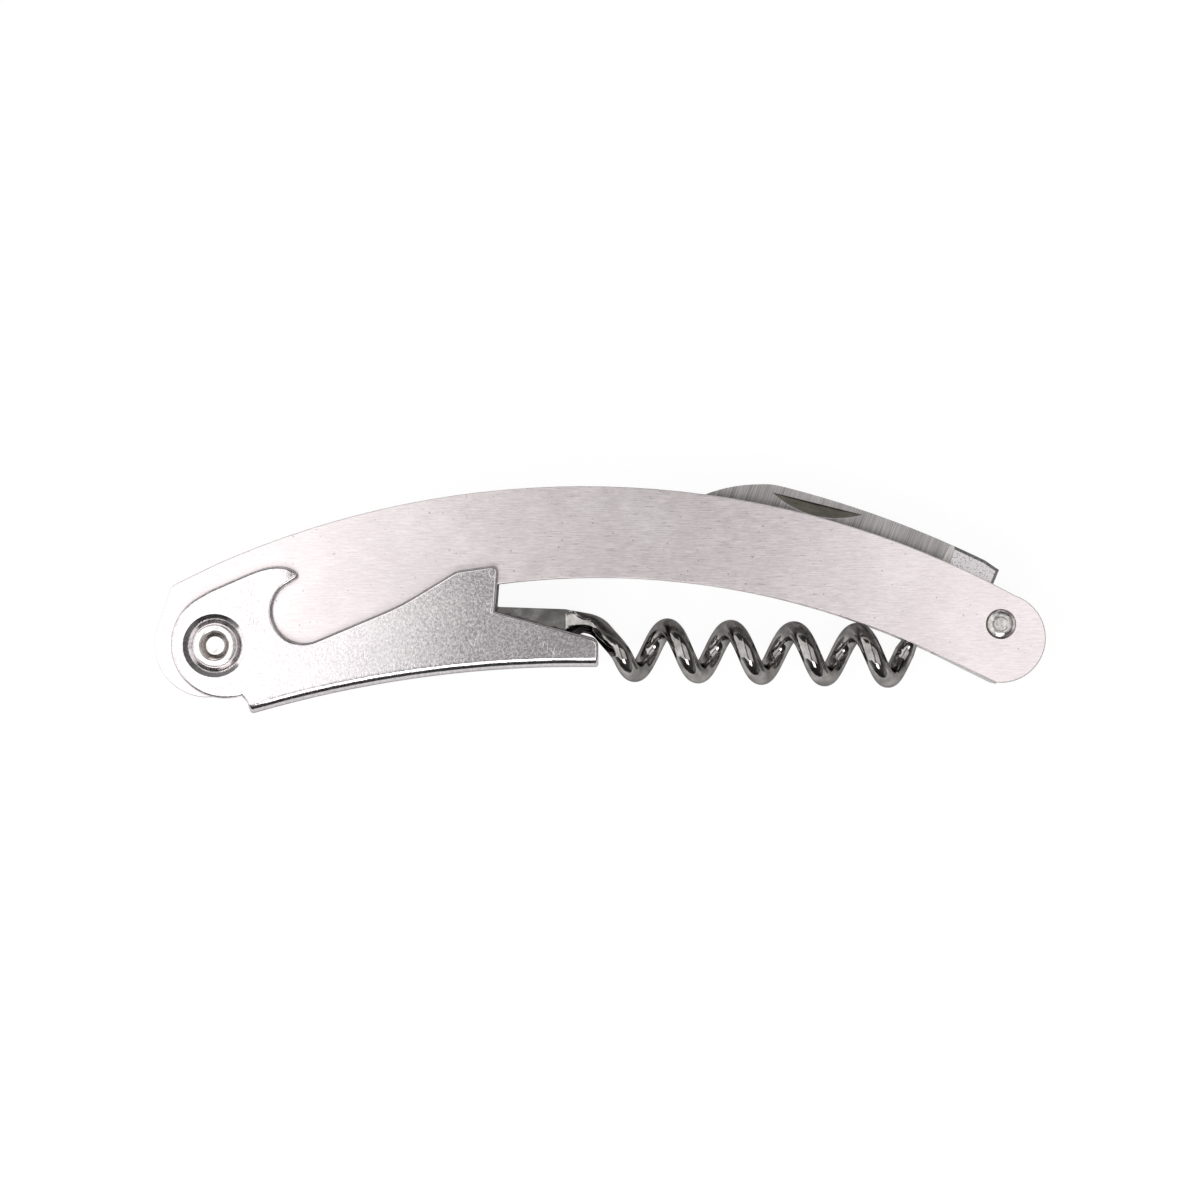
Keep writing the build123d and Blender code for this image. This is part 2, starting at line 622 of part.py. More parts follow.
def worm_shank():
    """Flat eye and paddle, blended to the round wire."""
    low = MIDDLE - PADDLE_GAUGE / 2
    high = MIDDLE + PADDLE_GAUGE / 2
    top = SHANK_HEIGHT / 2 - SHANK_DROP
    foot = -SHANK_HEIGHT / 2 - SHANK_DROP
    reach = sqrt(EYE_RADIUS**2 - (EYE_RADIUS / 2) ** 2)
    corners = [
        (EYE_RADIUS / 2, reach),
        SHANK_SHOULDER,
        (SHANK_LENGTH, top),
        (SHANK_LENGTH, foot),
        (0, -EYE_RADIUS),
    ]
    blade = make_face(Polyline(*[shifted(WORM_PIVOT, corner) for corner in corners], close=True))
    paddle = slab(blade, low, high) + post(WORM_PIVOT, EYE_RADIUS, low, high)
    paddle -= post(WORM_PIVOT, PIN_RADIUS + RUNNING_FIT, low, high)
    flat_end = Plane(origin=on_worm((SHANK_LENGTH, -SHANK_DROP)), x_dir=(0, 1, 0), z_dir=(1, 0, 0))
    flat_section = flat_end * Rectangle(SHANK_HEIGHT, PADDLE_GAUGE).face()
    wire_section = wire_start() * Circle(WIRE_RADIUS).face()
    return paddle + loft([flat_section, wire_section])


def worm():
    """Shank, lead-in, coil and ground point in one piece of wire."""
    start = wire_start()
    taper_angle = 360 * (COIL_TURNS - TAPER_TURNS)
    coil = coil_edge(LEAD_IN_ANGLE, taper_angle)
    lead_middle = on_worm(LEAD_POINT[:2], LEAD_POINT[2])
    lead = Spline([start.origin, lead_middle, coil @ 0], tangents=[start.z_dir, coil % 0])
    wire = sweep(start * Circle(WIRE_RADIUS), path=Wire([lead, coil]))
    point_edge = coil_edge(taper_angle, 360 * COIL_TURNS)
    ends = [section(point_edge, 0, WIRE_RADIUS), section(point_edge, 1, POINT_RADIUS)]
    point = sweep(ends, path=point_edge, multisection=True)
    return worm_shank() + wire + point


WORM_SEAT = PADDLE_GAUGE / 2 + RUNNING_FIT
BLADE_SEAT = BLADE_GAUGE / 2 + RUNNING_FIT

parts = {
    "handle_front_plate": handle_plate(GAP_HIGH, PLATE_HIGH, PLATE_HIGH, -1),
    "handle_back_plate": handle_plate(PLATE_LOW, GAP_LOW, PLATE_LOW, 1),
    "end_bar": end_bar(),
    "back_spring": back_spring(),
    "lever_rivet": lever_rivet(),
    "lever_rivet_sleeve": lever_rivet_sleeve(),
    "worm_pin": pivot_pin(WORM_PIVOT),
    "worm_spacer_front": spacer(WORM_PIVOT, WORM_SPACER_RADIUS, MIDDLE + WORM_SEAT, GAP_HIGH),
    "worm_spacer_back": spacer(WORM_PIVOT, WORM_SPACER_RADIUS, GAP_LOW, MIDDLE - WORM_SEAT),
    "blade_pin": pivot_pin(BLADE_PIVOT),
    "blade_spacer_front": spacer(BLADE_PIVOT, BLADE_SPACER_RADIUS, MIDDLE + BLADE_SEAT, GAP_HIGH),
    "blade_spacer_back": spacer(BLADE_PIVOT, BLADE_SPACER_RADIUS, GAP_LOW, MIDDLE - BLADE_SEAT),
    "lever": lever(),
    "worm": worm(),
    "blade": knife(),
}
for name, shape in parts.items():
    export_step(shape, "parts/" + name + ".step")
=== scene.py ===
import math

import bmesh
import bpy
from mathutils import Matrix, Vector


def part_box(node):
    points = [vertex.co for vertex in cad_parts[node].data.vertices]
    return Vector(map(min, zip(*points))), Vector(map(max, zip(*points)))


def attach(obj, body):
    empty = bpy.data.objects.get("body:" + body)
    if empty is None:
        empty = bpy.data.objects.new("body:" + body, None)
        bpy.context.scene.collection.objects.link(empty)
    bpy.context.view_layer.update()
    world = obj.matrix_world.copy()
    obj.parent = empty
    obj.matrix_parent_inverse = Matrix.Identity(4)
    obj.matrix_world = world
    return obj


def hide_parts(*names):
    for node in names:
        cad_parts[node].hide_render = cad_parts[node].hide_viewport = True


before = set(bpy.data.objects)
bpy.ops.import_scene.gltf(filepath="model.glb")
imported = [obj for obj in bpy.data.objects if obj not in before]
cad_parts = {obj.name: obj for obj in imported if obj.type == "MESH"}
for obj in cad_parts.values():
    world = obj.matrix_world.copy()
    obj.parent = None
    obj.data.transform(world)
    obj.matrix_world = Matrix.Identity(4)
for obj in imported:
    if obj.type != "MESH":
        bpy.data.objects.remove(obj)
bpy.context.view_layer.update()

# All lengths are in metres. The tool lies on the floor plane z = 0, seen from above.

# ---- camera ----

PLATE_TOP = 0.01215            # upper handle plate, the surface that the framing is scaled to
CAMERA_HEIGHT = 0.550          # above that plate
FRAME_WIDTH = 0.15336          # what the square picture spans at that plate
CAMERA_AIM = (-0.00013, -0.00006)
SENSOR = 36.0                  # width of the sensor, millimetres
CLIP_START = 0.01
CLIP_END = 10

# ---- floor ----

FLOOR_SIZE = 4.0
FLOOR_DROP = 0.0002            # below the tool, so that the two don't touch
FLOOR_BOUNCE = (0.90, 0.90, 0.90, 1)
# share of plain background and colour of the lit floor added to it, which keeps the shadow
FLOOR_SEEN = (0.93, (0.12, 0.12, 0.12, 1))
FLOOR_MIRRORED = (0.22, (0.78, 0.78, 0.78, 1))

# ---- room: brightness by the sine of the elevation, where 1 is white ----

HORIZON_TOP = 0.04             # the white backdrop ends here
HORIZON_BLEND = 0.11           # and has turned into the wall here
WALL_LEVEL = 0.26              # pale lower wall at the sides and the back
WALL_TOP = 0.36
WALL_BLEND = 0.44              # the wall has turned into the upper room here
ROOM_LEVEL = 0.07
FRONT_LEVEL = 0.035            # wall and room in front, where the lever's fold faces
FRONT_EDGE = (-0.84, -0.68)    # Y part of the direction, from the dark front to the pale sides
CEILING_START = 0.955
CEILING_BLEND = 0.01
CEILING_LEVEL = 0.34

# ---- lamps ----

LAMP_POWER = 4                 # watts per square metre of panel for a radiance of 1
PANEL_HEIGHT = 0.42
WARM_WHITE = (1.0, 0.985, 0.985)
# name: (x from, x to, y from, y to, radiance, colour), flat panels facing down at that height
PANELS = {
    "soft_left": (-0.46, -0.045, -0.30, 0.30, 1.00, (1.0, 0.99, 0.985)),
    "soft_right": (0.060, 0.40, -0.20, 0.26, 0.71, (1.0, 0.98, 0.985)),
    "soft_back": (-0.045, 0.0, 0.12, 0.45, 0.9, WARM_WHITE),
    "soft_front": (-0.16, -0.03, -0.25, -0.19, 2.4, WARM_WHITE),
    "soft_spot": (-0.02, 0.16, -0.43, -0.225, 4.0, WARM_WHITE),
}
# place, aim, width, height, radiance and colour of an upright panel at the lever's end
SIDE_PANEL = ((-0.46, 0.0, 0.22), (0.0, 0.0, 0.02), 0.60, 0.36, 0.9, (1.0, 0.99, 1.0))

# ---- surfaces ----
# A scale is in cycles per metre, or one for each axis where a grain is drawn out. A pair of
# tones holds the noise levels that give the dark and the light colour, or the low and the
# high roughness. A relief is the height of the bump. Colours are linear.

COLOUR_TONES = (0.35, 0.65)
ROUGHNESS_TONES = (0.3, 0.7)
FINE_RELIEF = 0.000006

PLATE_GRAINS = ((420, 7000, 7000), (1700, 9500, 9500))   # long and short brushing lines
PLATE_GRAIN_SHARES = (0.55, 0.45)
PLATE_BLOTCH_SCALE = 130
PLATE_TONE_SHARES = (0.75, 0.25)         # brushing and blotches
PLATE_TONES = (0.38, 0.62)
PLATE_DARK = (0.755, 0.692, 0.70)
PLATE_LIGHT = (0.95, 0.888, 0.897)
PLATE_ROUGHNESS = (0.27, 0.37)
PLATE_RELIEF = 0.0000045
PLATE_STREAKING = 0.75                   # highlights are drawn out across the brushing
PLATE_STREAK_AXIS = (0, 1, 0)
SPECK_SCALE = 2300
SPECK_TONES = (0.79, 0.83)
SPECK_STRENGTH = 0.5
SPECK_COLOUR = (0.30, 0.27, 0.27)

SHEET_FINE_SCALE = 6500
SHEET_FINE_ROUGHNESS = 0.6
SHEET_COARSE_SCALE = 2600
SHEET_GRAIN_SHARES = (0.6, 0.4)          # fine and coarse grain
SHEET_BLOTCH_SCALE = 170
SHEET_TONE_SHARES = (0.50, 0.38, 0.12)   # fine grain, coarse grain and blotches
SHEET_TONES = (0.40, 0.60)
SHEET_DARK = (0.60, 0.565, 0.59)
SHEET_LIGHT = (0.90, 0.865, 0.87)
SHEET_ROUGHNESS_TONES = (0.38, 0.62)
SHEET_ROUGHNESS = (0.11, 0.19)
SHEET_RELIEF = 0.000007
SHEET_EDGE = 0.35                        # brightness at grazing angles
WEB_LOW = 0.0014                         # the folded web between the cheeks is painted darker, as shade in place of the dark reflection along the fold
WEB_HIGH = 0.0121
WEB_BLEND = 0.0005
WEB_PAINTED_SHADE = (0.50, 0.49, 0.51)
# stray scratches: scale, turn in degrees, width and how much of the sheet stays free of them
SHEET_SCRATCHES = (((900, 140, 140), 12, 0.012, 0.66), ((170, 800, 800), 50, 0.010, 0.70))
SCRATCH_STRENGTH = 0.7
SCRATCH_DEPTH = 0.4
SCRATCH_COLOUR = (0.97, 0.95, 0.95)
SCRATCH_PATCH_SCALE = 420
SCRATCH_PATCH_BLEND = 0.03

WIRE_MOTTLE_SCALE = 520
WIRE_WAVE_SCALE = 640
WIRE_DARK = (0.27, 0.262, 0.25)
WIRE_LIGHT = (0.50, 0.485, 0.47)
WIRE_ROUGHNESS = (0.05, 0.13)
WIRE_RELIEF = 0.00004
WIRE_EDGE = 0.45

PLUNGE = (0.04567, 0.00707, 0.00775)     # where the grind ends on the spine, on the tang's face
PLUNGE_BLEND = 0.00008
GRIND_TURN = 16.1                        # the grind runs this far below the X axis, degrees
GRIND_DEPTH = 0.00016                    # below the tang's face at the spine
GRIND_LEAN = 0.088                       # how much deeper it gets per metre toward the edge
BLADE_MIDDLE = 0.00675
NICK_DEPTHS = (0.00002, 0.00005)         # below the ground face, where the nail nick begins
MARK_TURN = 22.0                         # the grinding marks lean a little more than the grind
MARK_GRAIN = (7000, 130, 130)
MARK_ROUGHNESS = 0.7
BROAD_MARK_GRAIN = (1500, 70, 70)
MARK_SHARES = (0.75, 0.25)               # narrow and broad marks
MARK_TONES = (0.34, 0.66)
GROUND_DARK = (0.27, 0.255, 0.255)
GROUND_LIGHT = (0.66, 0.635, 0.635)
TANG_DOT_SCALE = 4500
TANG_DOT_TONES = (0.32, 0.46)
TANG_DOT_DEPTH = 0.5
TANG_DARK = (0.34, 0.32, 0.33)
TANG_LIGHT = (0.73, 0.70, 0.71)
NICK_GRAIN = (700, 2500, 2500)
NICK_DARK = (0.085, 0.082, 0.065)
NICK_LIGHT = (0.20, 0.195, 0.165)
GROUND_ROUGHNESS = 0.34
TANG_ROUGHNESS = 0.28

RIVET_MOTTLE_SCALE = 1400
RIVET_DARK = (0.68, 0.66, 0.65)
RIVET_LIGHT = (0.92, 0.89, 0.88)
RIVET_ROUGHNESS = (0.10, 0.20)
RIVET_SCRATCHES = ((1500, 300, 300), 50, 0.03, 0.5)
RIVET_SCRATCH_STRENGTH = 0.6
RIVET_SCRATCH_COLOUR = (0.35, 0.32, 0.30)
CUP_MOUTH = 0.00028                      # painted shade on the cup's wall starts this far below the rivet's face
CUP_FOOT = 0.00100                       # and ends this far below it
CUP_SOFT = 0.00012
CUP_REACH = 0.00205                      # and is no farther than this from the rivet's axis
CUP_PAINTED_SHADE = (0.50, 0.48, 0.46)

# name: (dark colour, light colour, mottle scale, roughness, relief)
PLAIN_STEELS = {
    "pin_steel": ((0.40, 0.39, 0.37), (0.72, 0.70, 0.68), 1500, (0.14, 0.26), 0.00003),
    "spring_steel": ((0.44, 0.43, 0.43), (0.60, 0.59, 0.59), 700, (0.25, 0.40), FINE_RELIEF),
    "spacer_steel": ((0.48, 0.47, 0.46), (0.62, 0.61, 0.60), 900, (0.25, 0.40), FINE_RELIEF),
}

# ---- turned and smoothed pieces ----

MM = 0.001
TURN_SEGMENTS = 96
ROUND_STEPS = 6                          # steps in each rounded corner of a profile
SHARP_ANGLE = 30.0                       # edges that bend more than this stay sharp, degrees
WELD = 0.000001                          # corners of facets closer than this are joined
FACE_AREA_WEIGHT = 100                   # large faces set the normals, small ones follow
# one end of each turned piece, from its middle out: (radius, depth below the end face, rounding), mm
RIVET_END = (
    (0, 1.05, 0),
    (1.15, 1.05, 0),
    (1.90, 0, 0.22),
    (2.75, 0, 0.24),
    (2.75, 0.75, 0),
    (2.25, 0.75, 0),
)
PIN_END = (
    (0, 0.12, 0),
    (0.85, 0.12, 0),
    (0.97, 0, 0),
    (1.20, 0, 0),
    (1.92, 0.38, 0.06),
    (1.92, 0.55, 0),
    (1.50, 0.55, 0),
)


def add_camera():
    data = bpy.data.cameras.new("camera")
    data.sensor_width = SENSOR
    data.lens = SENSOR * CAMERA_HEIGHT / FRAME_WIDTH
    data.clip_start = CLIP_START
    data.clip_end = CLIP_END
    camera = bpy.data.objects.new("camera", data)
    camera.location = (CAMERA_AIM[0], CAMERA_AIM[1], PLATE_TOP + CAMERA_HEIGHT)
    bpy.context.scene.collection.objects.link(camera)
    bpy.context.scene.camera = camera


def add_lamp(name, location, aim, width, height, radiance, colour):
    data = bpy.data.lights.new(name, "AREA")
    data.shape = "RECTANGLE"
    data.size = width
    data.size_y = height
    data.energy = radiance * LAMP_POWER * width * height
    data.color = colour
    lamp = bpy.data.objects.new(name, data)
    lamp.location = location
    lamp.rotation_euler = (Vector(aim) - Vector(location)).to_track_quat("-Z", "Y").to_euler()
    lamp.visible_camera = False
    bpy.context.scene.collection.objects.link(lamp)


def add_panels():
    for name, (x_from, x_to, y_from, y_to, radiance, colour) in PANELS.items():
        centre = ((x_from + x_to) / 2, (y_from + y_to) / 2, PANEL_HEIGHT)
        below = (centre[0], centre[1], 0.0)
        add_lamp(name, centre, below, x_to - x_from, y_to - y_from, radiance, colour)
    add_lamp("side_panel", *SIDE_PANEL)


class Graph:
    """Adds and links the nodes of one material or world."""

    def __init__(self, owner):
        owner.use_nodes = True
        self.tree = owner.node_tree
        self.tree.nodes.clear()

    def node(self, kind, inputs=None, **settings):
        made = self.tree.nodes.new(kind)
        for key, value in settings.items():
            setattr(made, key, value)
        for key, value in (inputs or {}).items():
            if isinstance(value, bpy.types.NodeSocket):
                self.tree.links.new(value, made.inputs[key])
            else:
                made.inputs[key].default_value = value
        return made

    def math(self, operation, first, second=0.0, clamp=False):
        inputs = {0: first, 1: second}
        return self.node("ShaderNodeMath", inputs, operation=operation, use_clamp=clamp).outputs[0]

    def vector_math(self, operation, first, second=(0, 0, 0)):
        return self.node("ShaderNodeVectorMath", {0: first, 1: second}, operation=operation).outputs

    def blend_of(self, values, shares):
        """Sum of values times their shares."""
        total = None
        for value, share in zip(values, shares):
            part = self.math("MULTIPLY", value, share)
            total = part if total is None else self.math("ADD", total, part)
        return total

    def place(self):
        return self.node("ShaderNodeTexCoord").outputs["Object"]

    def split(self, vector):
        return self.node("ShaderNodeSeparateXYZ", {0: vector}).outputs

    def along(self, vector, origin, direction):
        """Signed distance from an origin along a direction."""
        offset = self.vector_math("SUBTRACT", vector, origin)[0]
        return self.vector_math("DOT_PRODUCT", offset, direction)["Value"]

    def stretched(self, vector, scale, turn=0.0):
        """Coordinates turned about Z by some degrees and then scaled."""
        rotation = (0, 0, math.radians(turn))
        turned = self.node("ShaderNodeMapping", {"Vector": vector, "Rotation": rotation})
        return self.vector_math("MULTIPLY", turned.outputs[0], scale)[0]

    def noise(self, vector, scale=1.0, detail=2.0, roughness=0.5):
        return self.node(
            "ShaderNodeTexNoise",
            {"Vector": vector, "Scale": scale, "Detail": detail, "Roughness": roughness},
        ).outputs[0]

    def ramp(self, value, stops):
        """Grey level that follows a value through (value, level) stops."""
        made = self.node("ShaderNodeValToRGB", {0: value})
        elements = made.color_ramp.elements
        while len(elements) < len(stops):
            elements.new(0.5)
        for element, (position, level) in zip(elements, stops):
            element.position = position
            element.color = (level, level, level, 1)
        return made.outputs[0]

    def spread(self, value, low, high, to_low=0.0, to_high=1.0):
        """A value's range mapped to another, clamped."""
        return self.node(
            "ShaderNodeMapRange",
            {"Value": value, "From Min": low, "From Max": high, "To Min": to_low, "To Max": to_high},
        ).outputs[0]

    def mix(self, factor, first, second, blend="MIX"):
        made = self.node("ShaderNodeMix", data_type="RGBA", blend_type=blend)
        for socket, value in ((made.inputs[0], factor), (made.inputs[6], first), (made.inputs[7], second)):
            if isinstance(value, bpy.types.NodeSocket):
                self.tree.links.new(value, socket)
            elif isinstance(value, tuple):
                socket.default_value = (*value, 1)
            else:
                socket.default_value = value
        return made.outputs[2]

    def tinted(self, factor, colour, tint):
        """A colour multiplied by a tint where the factor is 1."""
        return self.mix(factor, colour, self.mix(1.0, colour, tint, "MULTIPLY"))

    def scratches(self, vector, scale, turn, width, free):
        """Thin broken lines: the level lines of a stretched noise, where another noise is high."""
        wander = self.noise(self.stretched(vector, scale, turn), detail=1)
        off_line = self.math("ABSOLUTE", self.math("SUBTRACT", wander, 0.5))
        line = self.spread(off_line, 0.0, width, 1.0, 0.0)
        patch = self.noise(vector, scale=SCRATCH_PATCH_SCALE, detail=0)
        return self.math("MULTIPLY", line, self.spread(patch, free, free + SCRATCH_PATCH_BLEND))

    def steel(self, colour, roughness, height, relief, streaking=0.0, streak_axis=None, edge=1.0):
        """Metal surface. Its highlights are drawn out along an axis of the object, where one is given."""
        bump = self.node("ShaderNodeBump", {"Height": height, "Distance": relief, "Strength": 1.0})
        inputs = {
            "Base Color": colour,
            "Roughness": roughness,
            "Metallic": 1.0,
            "Normal": bump.outputs[0],
            "Anisotropic": streaking,
            "Specular Tint": (edge, edge, edge, 1),
        }
        if streak_axis:
            turned = self.node(
                "ShaderNodeVectorTransform", {0: streak_axis},
                vector_type="VECTOR", convert_from="OBJECT", convert_to="WORLD",
            )
            inputs["Tangent"] = turned.outputs[0]
        shader = self.node("ShaderNodeBsdfPrincipled", inputs)
        self.node("ShaderNodeOutputMaterial", {"Surface": shader.outputs[0]})


def new_material(name):
    material = bpy.data.materials.new(name)
    graph = Graph(material)
    return material, graph, graph.place()


def brushed_plate():
    """Fine straight brushing along the handle, with a few specks."""
    material, graph, place = new_material("brushed_plate")
    grains = [graph.noise(graph.stretched(place, scale), detail=1) for scale in PLATE_GRAINS]
    blotch = graph.noise(place, scale=PLATE_BLOTCH_SCALE, detail=3)
    grain = graph.blend_of(grains, PLATE_GRAIN_SHARES)
    tone = graph.blend_of((grain, blotch), PLATE_TONE_SHARES)
    colour = graph.mix(graph.spread(tone, *PLATE_TONES), PLATE_DARK, PLATE_LIGHT)
    speck = graph.spread(graph.noise(place, scale=SPECK_SCALE, detail=0), *SPECK_TONES)
    colour = graph.mix(graph.math("MULTIPLY", speck, SPECK_STRENGTH), colour, SPECK_COLOUR)
    roughness = graph.spread(grain, *ROUGHNESS_TONES, *PLATE_ROUGHNESS)
    graph.steel(colour, roughness, grain, PLATE_RELIEF, PLATE_STREAKING, PLATE_STREAK_AXIS)
    return material


def tumbled_sheet():
    """Lever's tumbled sheet: fine lustrous grain, a few stray scratches and painted shade on the folded
    web.
    """
    material, graph, place = new_material("tumbled_sheet")
    fine = graph.noise(place, scale=SHEET_FINE_SCALE, detail=2, roughness=SHEET_FINE_ROUGHNESS)
    coarse = graph.noise(place, scale=SHEET_COARSE_SCALE, detail=2)
    blotch = graph.noise(place, scale=SHEET_BLOTCH_SCALE, detail=3)
    grain = graph.blend_of((fine, coarse), SHEET_GRAIN_SHARES)
    tone = graph.blend_of((fine, coarse, blotch), SHEET_TONE_SHARES)
    colour = graph.mix(graph.spread(tone, *SHEET_TONES), SHEET_DARK, SHEET_LIGHT)
    # painted shade: the web between the cheeks, from WEB_LOW to WEB_HIGH, is darkened in colour in place
    # of the fold's dark reflection
    height = graph.split(place)["Z"]
    above = graph.spread(height, WEB_LOW, WEB_LOW + WEB_BLEND)
    below = graph.spread(height, WEB_HIGH - WEB_BLEND, WEB_HIGH, 1.0, 0.0)
    colour = graph.tinted(graph.math("MULTIPLY", above, below), colour, WEB_PAINTED_SHADE)
    marks = graph.math("MAXIMUM", *(graph.scratches(place, *kind) for kind in SHEET_SCRATCHES))
    colour = graph.mix(graph.math("MULTIPLY", marks, SCRATCH_STRENGTH), colour, SCRATCH_COLOUR)
    roughness = graph.spread(tone, *SHEET_ROUGHNESS_TONES, *SHEET_ROUGHNESS)
    relief = graph.math("SUBTRACT", grain, graph.math("MULTIPLY", marks, SCRATCH_DEPTH))
    graph.steel(colour, roughness, relief, SHEET_RELIEF, edge=SHEET_EDGE)
    return material


def polished_wire():
    """Worm's drawn wire, bright but not quite true."""
    material, graph, place = new_material("polished_wire")
    mottle = graph.noise(place, scale=WIRE_MOTTLE_SCALE, detail=4)
    waves = graph.noise(place, scale=WIRE_WAVE_SCALE, detail=2)
    colour = graph.mix(graph.spread(mottle, *COLOUR_TONES), WIRE_DARK, WIRE_LIGHT)
    roughness = graph.spread(mottle, *ROUGHNESS_TONES, *WIRE_ROUGHNESS)
    graph.steel(colour, roughness, waves, WIRE_RELIEF, edge=WIRE_EDGE)
    return material


def ground_blade():
    """Knife: coarse grinding marks across the blade, plain tang, dark nail nick."""
    material, graph, place = new_material("ground_blade")
    turn = math.radians(GRIND_TURN)
    toward_kick = (math.cos(turn), -math.sin(turn), 0)
    toward_edge = (-math.sin(turn), -math.cos(turn), 0)
    past_plunge = graph.along(place, PLUNGE, toward_kick)
    below_spine = graph.along(place, PLUNGE, toward_edge)
    height = graph.math("ABSOLUTE", graph.math("SUBTRACT", graph.split(place)["Z"], BLADE_MIDDLE))
    lean = graph.math("MULTIPLY", below_spine, GRIND_LEAN)
    ground = graph.math("SUBTRACT", PLUNGE[2] - BLADE_MIDDLE - GRIND_DEPTH, lean)
    nick = graph.spread(graph.math("SUBTRACT", ground, height), *NICK_DEPTHS)
    tang = graph.spread(past_plunge, 0.0, PLUNGE_BLEND)
    blade = graph.math("SUBTRACT", 1.0, tang)

    marks = graph.noise(graph.stretched(place, MARK_GRAIN, MARK_TURN), detail=2, roughness=MARK_ROUGHNESS)
    broad = graph.noise(graph.stretched(place, BROAD_MARK_GRAIN, MARK_TURN), detail=1)
    tone = graph.blend_of((marks, broad), MARK_SHARES)
    ground_colour = graph.mix(graph.spread(tone, *MARK_TONES), GROUND_DARK, GROUND_LIGHT)
    dots = graph.noise(place, scale=TANG_DOT_SCALE, detail=1)
    tang_colour = graph.mix(graph.spread(dots, *TANG_DOT_TONES), TANG_DARK, TANG_LIGHT)
    nick_tone = graph.noise(graph.stretched(place, NICK_GRAIN, GRIND_TURN), detail=2)
    nick_colour = graph.mix(nick_tone, NICK_DARK, NICK_LIGHT)

    colour = graph.mix(tang, ground_colour, tang_colour)
    colour = graph.mix(graph.math("MULTIPLY", nick, blade), colour, nick_colour)
    roughness = graph.spread(tang, 0.0, 1.0, GROUND_ROUGHNESS, TANG_ROUGHNESS)
    dot_relief = graph.math("MULTIPLY", graph.math("MULTIPLY", dots, TANG_DOT_DEPTH), tang)
    relief = graph.math("ADD", graph.math("MULTIPLY", marks, blade), dot_relief)
    graph.steel(colour, roughness, relief, FINE_RELIEF)
    return material


def rolled_rivet():
    """Rivet with a bright rolled rim, painted shade on the wall in its cup and a scratched floor."""
    material, graph, place = new_material("polished_rivet")
    low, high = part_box("lever_rivet")
    middle = (low + high) / 2
    mottle = graph.noise(place, scale=RIVET_MOTTLE_SCALE, detail=4)
    colour = graph.mix(graph.spread(mottle, *COLOUR_TONES), RIVET_DARK, RIVET_LIGHT)
    scratch = graph.scratches(place, *RIVET_SCRATCHES)
    strength = graph.math("MULTIPLY", scratch, RIVET_SCRATCH_STRENGTH)
    colour = graph.mix(strength, colour, RIVET_SCRATCH_COLOUR)
    offset = graph.vector_math("SUBTRACT", place, middle)[0]
    flat = graph.vector_math("MULTIPLY", offset, (1, 1, 0))[0]
    reach = graph.vector_math("LENGTH", flat)["Value"]
    off_middle = graph.math("ABSOLUTE", graph.split(offset)["Z"])
    depth = graph.math("SUBTRACT", (high.z - low.z) / 2, off_middle)
    # painted shade: the cup's wall is darkened in colour where the recess would be in shadow
    below_mouth = graph.spread(depth, CUP_MOUTH - CUP_SOFT, CUP_MOUTH)
    above_foot = graph.spread(depth, CUP_FOOT - CUP_SOFT, CUP_FOOT, 1.0, 0.0)
    inside = graph.spread(reach, CUP_REACH, CUP_REACH + CUP_SOFT, 1.0, 0.0)
    wall = graph.math("MULTIPLY", graph.math("MULTIPLY", below_mouth, above_foot), inside)
    colour = graph.tinted(wall, colour, CUP_PAINTED_SHADE)
    roughness = graph.spread(mottle, *ROUGHNESS_TONES, *RIVET_ROUGHNESS)
    graph.steel(colour, roughness, mottle, FINE_RELIEF)
    return material


def plain_steel(name):
    """Evenly mottled steel from the table of plain steels."""
    dark, light, scale, rough, relief = PLAIN_STEELS[name]
    material, graph, place = new_material(name)
    mottle = graph.noise(place, scale=scale, detail=4)
    colour = graph.mix(graph.spread(mottle, *COLOUR_TONES), dark, light)
    roughness = graph.spread(mottle, *ROUGHNESS_TONES, *rough)
    graph.steel(colour, roughness, mottle, relief)
    return material


def add_floor():
    """White floor: plain where it is seen or mirrored, lit where it throws light back."""
    mesh = bpy.data.meshes.new("floor")
    half = FLOOR_SIZE / 2
    corners = [(x * half, y * half, -FLOOR_DROP) for x, y in ((-1, -1), (1, -1), (1, 1), (-1, 1))]
    mesh.from_pydata(corners, [], [(0, 1, 2, 3)])
    floor = bpy.data.objects.new("floor", mesh)
    bpy.context.scene.collection.objects.link(floor)
    material = bpy.data.materials.new("floor")
    graph = Graph(material)
    path = graph.node("ShaderNodeLightPath").outputs
    seen = graph.math("ADD", path["Is Camera Ray"], path["Is Transmission Ray"], clamp=True)
    surface = graph.node("ShaderNodeBsdfDiffuse", {"Color": FLOOR_BOUNCE}).outputs[0]
    for ray, (white, shade) in ((path["Is Glossy Ray"], FLOOR_MIRRORED), (seen, FLOOR_SEEN)):
        lit = graph.node("ShaderNodeBsdfDiffuse", {"Color": shade}).outputs[0]
        plain = graph.node("ShaderNodeEmission", {"Color": (1, 1, 1, 1), "Strength": white}).outputs[0]
        backdrop = graph.node("ShaderNodeAddShader", {0: plain, 1: lit}).outputs[0]
        surface = graph.node("ShaderNodeMixShader", {0: ray, 1: surface, 2: backdrop}).outputs[0]
    graph.node("ShaderNodeOutputMaterial", {"Surface": surface})
    mesh.materials.append(material)


def room_level(graph, elevation, wall, room):
    """Brightness from the white horizon up over a wall and a dark room to the ceiling."""
    return graph.ramp(elevation, [
        (0.0, 1.0),
        (HORIZON_TOP, 1.0),
        (HORIZON_BLEND, wall),
        (WALL_TOP, wall),
        (WALL_BLEND, room),
        (CEILING_START - CEILING_BLEND, room),
        (CEILING_START, CEILING_LEVEL),
    ])


